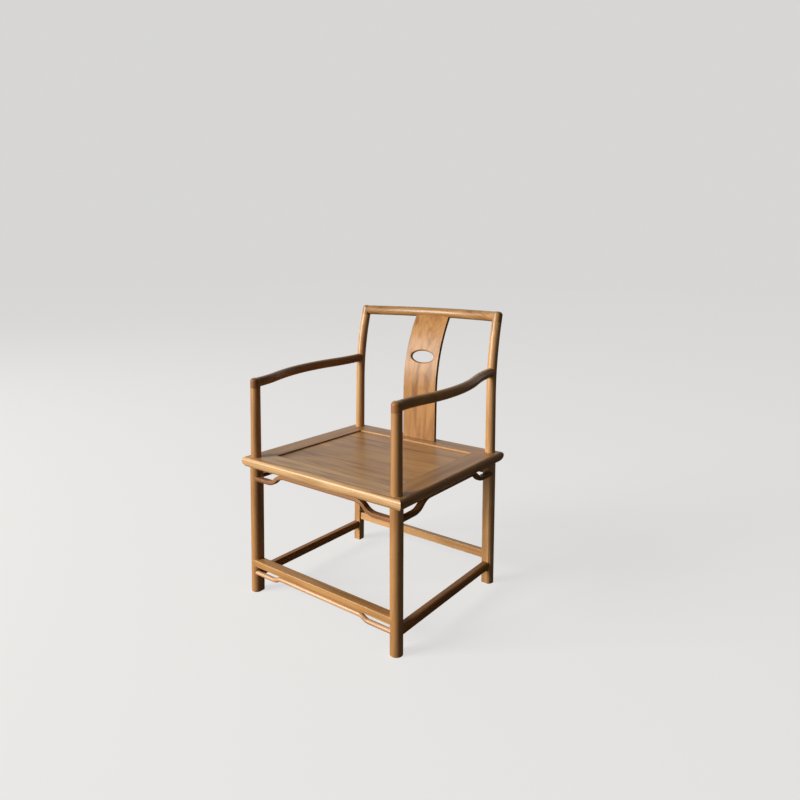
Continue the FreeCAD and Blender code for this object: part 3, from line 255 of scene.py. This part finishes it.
# The wood of each piece, by the start of its node's name
WOODS = {
    "front_leg": Wood("z", (186, 134, 80)),
    "back_leg": Wood("z", (208, 158, 102)),
    "armrest_left": Wood("y", (182, 132, 76), pith=(0.004, -0.006), gloss=0.25),
    # Darker tone is painted shade: this arm's seen side faces away from the light
    "armrest_right": Wood("y", (158, 110, 60), pith=(0.004, -0.006), gloss=0.35),
    "crest_rail": Wood("x", (180, 134, 81), pith=(0.03, -0.04)),
    "back_splat": Wood("z", (183, 133, 79), pith=(0.012, 0.05), lean=(0.03, 0.24), rings=0.5, flame=0.6,
                       gloss=0.2, rim_shade=0.8),
    # Paler tone is a painted highlight on the lit front face
    "seat_front_rail": Wood("x", (216, 172, 118), pith=(-0.05, -0.06), rings=1.6, flame=0.5, edge_highlight=0.6,
                            gloss=0.35),
    "seat_back_rail": Wood("x", (194, 144, 86), pith=(0.05, -0.05), edge_highlight=0.3, gloss=0.45),
    "seat_side_rail": Wood("y", (180, 131, 76), pith=(0.05, -0.05), edge_highlight=0.3, gloss=0.35),
    "seat_board": Wood("x", (200, 148, 85), pith=(-0.03, -0.06), lean=(0.02, 0.02), rings=1.8, flame=0.4),
    "seat_batten": Wood("y", (200, 155, 110)),
    # Darker tone is painted shade from the seat's overhang
    "front_brace": Wood("x", (158, 112, 75), gloss=0.2),
    "back_brace": Wood("x", (166, 118, 76), gloss=0.2),
    # Darker tone is painted shade on the chair's shaded side
    "side_brace": Wood("y", (138, 92, 46), gloss=0.2),
    "front_stretcher": Wood("x", (194, 144, 88), pith=(-0.04, -0.05), rings=1.4, edge_highlight=0.1, gloss=0.15),
    "back_stretcher": Wood("x", (212, 160, 103), pith=(0.04, -0.05), edge_highlight=0.3, gloss=0.4),
    # Darker tone is painted shade on the chair's shaded side
    "side_stretcher": Wood("y", (160, 106, 46), pith=(0.04, -0.05), edge_highlight=0.2, gloss=0.2),
    "footrest_brace": Wood("x", (216, 166, 117)),
}


def dress_nodes():
    for seed, name in enumerate(sorted(nodes), 1):
        wood = next(kind for start, kind in WOODS.items() if name.startswith(start))
        material = elm(nodes[name], wood, seed)
        for slot in nodes[name].material_slots:
            slot.material = material


dress_nodes()


# Floor, light and camera

FLOOR_SIZE = 60.0
FLOOR_COLOUR = (0.25, 0.247, 0.242, 1.0)
FLOOR_BOUNCE = (0.16, 0.155, 0.15, 1.0)
FLOOR_GLOW = (0.66, 0.655, 0.645, 1.0)
BACKDROP = (0.68, 0.675, 0.665, 1.0)
ROOM = (0.09, 0.09, 0.09, 1.0)
BEHIND = Vector((-0.6, 0.8, 0.0))
# The backdrop's soft edge, as cosines of the angle from straight behind
BACKDROP_EDGE = (0.3, 0.8)
KEY_PLACE = Vector((-4.3, -6.4, 2.7))
KEY_TARGET = Vector((0.0, 0.0, 0.4))
KEY_WIDTH = 3.6
KEY_HEIGHT = 4.8
KEY_POWER = 900.0
KEY_COLOUR = (1.0, 0.98, 0.95)


def make_floor():
    """A pale floor that throws little light back at the underside of the seat."""
    bpy.ops.mesh.primitive_plane_add(size=FLOOR_SIZE)
    floor = bpy.context.object
    floor.name = "studio_floor"
    shader = Shader(floor.name, bpy.data.materials)
    seen = shader.add("LightPath", {}, {}, output="Is Camera Ray")
    shader.set(Base_Color=shader.mix(FLOOR_BOUNCE, FLOOR_COLOUR, seen), Specular_IOR_Level=0.0,
               Emission_Color=shader.mix(BLACK, FLOOR_GLOW, seen), Emission_Strength=1.0)
    floor.data.materials.append(shader.data)


def make_background():
    """A dim room with a pale backdrop behind the chair; the camera sees the backdrop all around."""
    shader = Shader("studio", bpy.data.worlds)
    bpy.context.scene.world = shader.data
    toward = shader.add("TexCoord", {}, {}, output="Generated")
    cosine = shader.add("VectorMath", {"operation": "DOT_PRODUCT"}, {0: toward, 1: BEHIND}, output="Value")
    seen = shader.add("LightPath", {}, {}, output="Is Camera Ray")
    mirrored = shader.add("LightPath", {}, {}, output="Is Glossy Ray")
    pale = seen + mirrored * shader.ramp(cosine, *BACKDROP_EDGE)
    shader.plug(shader.surface.inputs["Color"], shader.mix(ROOM, BACKDROP, pale))


def make_key_light():
    """A tall soft light from the front right of the sitter."""
    data = bpy.data.lights.new("key", "AREA")
    data.shape = "RECTANGLE"
    data.size = KEY_WIDTH
    data.size_y = KEY_HEIGHT
    data.energy = KEY_POWER
    data.color = KEY_COLOUR
    light = bpy.data.objects.new("key", data)
    light.location = KEY_PLACE
    light.rotation_euler = (KEY_TARGET - KEY_PLACE).to_track_quat("-Z", "Y").to_euler()
    bpy.context.scene.collection.objects.link(light)


CAMERA_PLACE = (1.1331, -1.4148, 0.9742)
CAMERA_AZIMUTH = math.radians(36.91)
CAMERA_PITCH = math.radians(11.89)
CAMERA_ROLL = math.radians(0.34)
CAMERA_LENS = 27.70


def make_camera():
    data = bpy.data.cameras.new("camera")
    data.lens = CAMERA_LENS
    camera = bpy.data.objects.new("camera", data)
    turn = (Matrix.Rotation(CAMERA_AZIMUTH, 4, "Z") @ Matrix.Rotation(math.pi / 2 - CAMERA_PITCH, 4, "X")
            @ Matrix.Rotation(CAMERA_ROLL, 4, "Z"))
    camera.matrix_world = Matrix.Translation(CAMERA_PLACE) @ turn
    bpy.context.scene.collection.objects.link(camera)
    bpy.context.scene.camera = camera


make_floor()
make_background()
make_key_light()
make_camera()
bpy.context.scene.view_settings.view_transform = "Standard"
